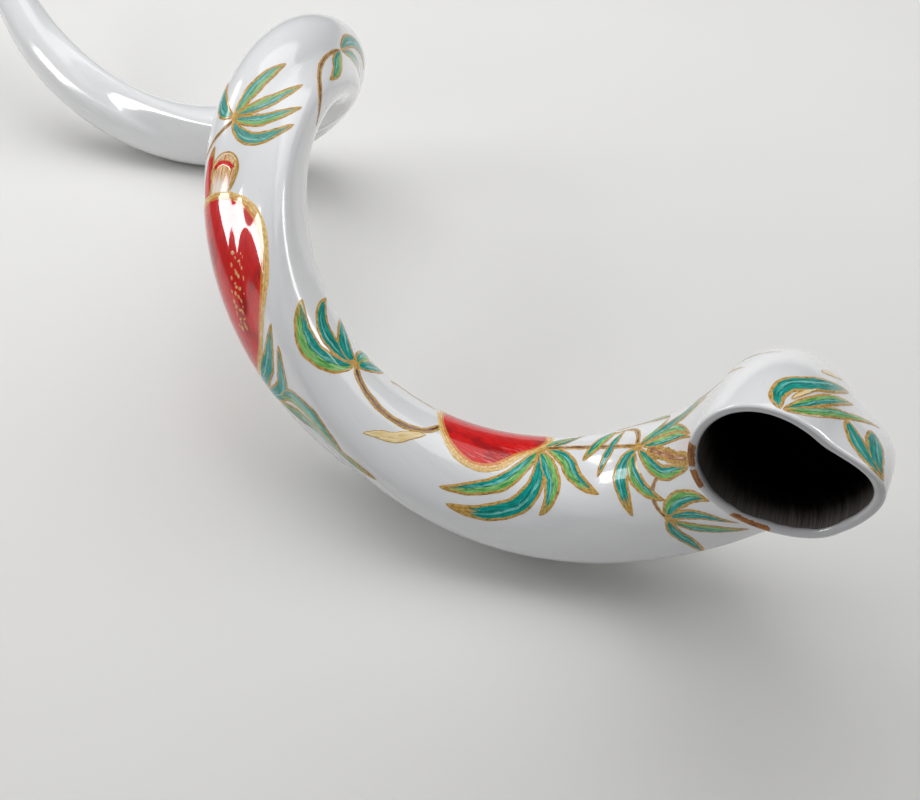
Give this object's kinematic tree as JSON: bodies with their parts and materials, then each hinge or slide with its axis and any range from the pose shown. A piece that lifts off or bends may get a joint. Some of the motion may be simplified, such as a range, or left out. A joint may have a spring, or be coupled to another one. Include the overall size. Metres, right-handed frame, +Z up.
{
  "type": "shofar",
  "caption": "Long twisted antelope horn blown as a trumpet: keeled flaring bell, two open turns, narrow mouth end cut in the tip, white lacquer with painted fruit and leaf sprays.",
  "frame": {"origin": "centre of the plan box, on the surface that the horn lies on", "axes": "+Z up, +Y along the axis the horn winds about, from the bell to the mouth end"},
  "size_m": [0.3084, 0.8792, 0.2348],
  "materials": {
    "horn": "bare horn, dark brown, fibrous",
    "white_enamel": "high gloss lacquer",
    "leaf_paint": "brushed on, under gloss lacquer",
    "red_paint": "brushed on, under gloss lacquer",
    "gold_paint": "gold metallic paint line",
    "brown_paint": "brushed on, under gloss lacquer"
  },
  "bodies": {
    "root": {"back_branches": "brown_paint", "back_leaves": "leaf_paint", "bell_side_blades": "leaf_paint", "bell_top_leaves": "leaf_paint", "gold_bell_tick": "gold_paint", "gold_bud": "gold_paint", "gold_large_fruit_rim": "gold_paint", "gold_lip_strokes": "gold_paint", "gold_small_fruit_rim": "gold_paint", "ground_coat_bell": "white_enamel", "ground_coat_first_bend": "white_enamel", "ground_coat_first_turn": "white_enamel", "ground_coat_mouth_end": "white_enamel", "ground_coat_second_bend": "white_enamel", "ground_coat_second_turn": "white_enamel", "ground_coat_throat": "white_enamel", "hanging_leaves": "leaf_paint", "horn_bell": "horn", "horn_first_bend_end": "horn", "horn_first_bend_middle": "horn", "horn_first_bend_start": "horn", "horn_first_turn_end": "horn", "horn_first_turn_middle": "horn", "horn_first_turn_start": "horn", "horn_mouth_end": "horn", "horn_second_bend_end": "horn", "horn_second_bend_middle": "horn", "horn_second_bend_start": "horn", "horn_second_turn_end": "horn", "horn_second_turn_middle": "horn", "horn_second_turn_start": "horn", "horn_throat_lower": "horn", "horn_throat_upper": "horn", "inner_leaves": "leaf_paint", "keel_side_leaves": "leaf_paint", "keel_side_twig": "brown_paint", "large_pomegranate": "red_paint", "middle_branch": "brown_paint", "near_bell_leaves": "leaf_paint", "near_bell_twigs": "brown_paint", "pomegranate_crown": "red_paint", "small_pomegranate": "red_paint", "trailing_leaves": "leaf_paint", "upper_leaves": "leaf_paint", "upper_twig": "brown_paint"}
  },
  "joints": []
}
